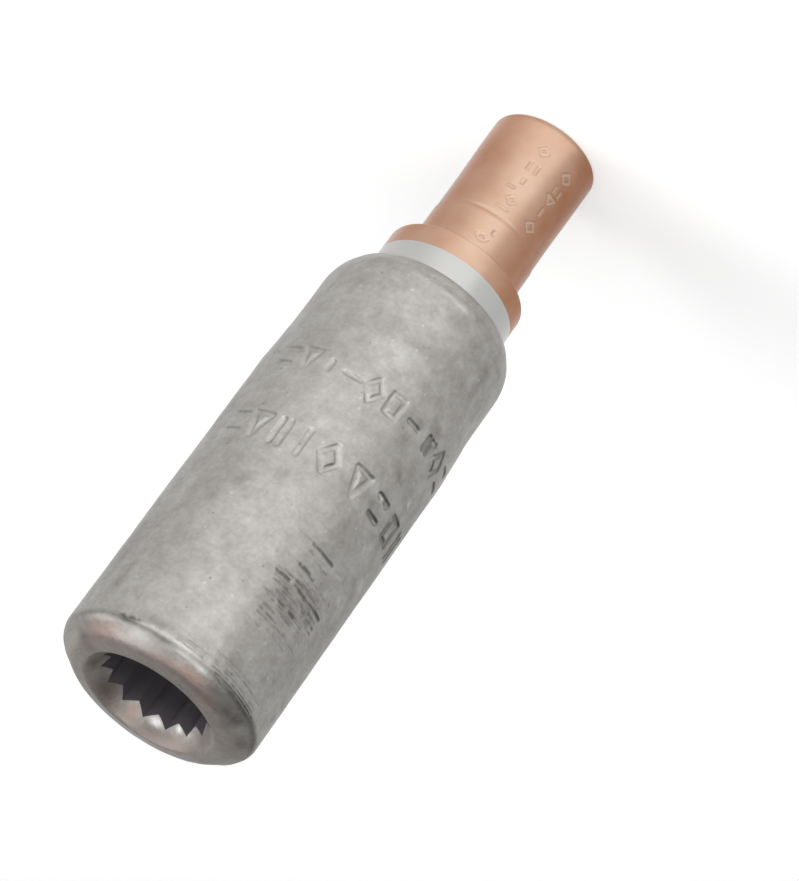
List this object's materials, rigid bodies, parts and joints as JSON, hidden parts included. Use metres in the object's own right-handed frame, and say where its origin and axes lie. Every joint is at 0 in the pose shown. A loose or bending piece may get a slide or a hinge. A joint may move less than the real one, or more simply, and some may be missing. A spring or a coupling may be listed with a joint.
{
  "type": "bimetallic compression connector",
  "caption": "Barrel-shaped aluminium sleeve with a toothed blind bore, welded end to end to a slimmer copper sleeve, for joining an aluminium conductor to a copper conductor.",
  "frame": {"origin": "centre of the open end of the copper barrel, on the surface that the part stands on", "axes": "+Z along the common axis of both barrels, from the copper end to the aluminium mouth; +X towards one tooth crest of the aluminium bore"},
  "size_m": [0.032, 0.032, 0.112],
  "materials": {
    "forged_aluminium": "dull grey tumbled forging, smooth turned neck",
    "turned_copper": "satin drawn copper"
  },
  "bodies": {
    "root": {"aluminium_barrel": "forged_aluminium", "copper_barrel": "turned_copper"}
  },
  "joints": []
}
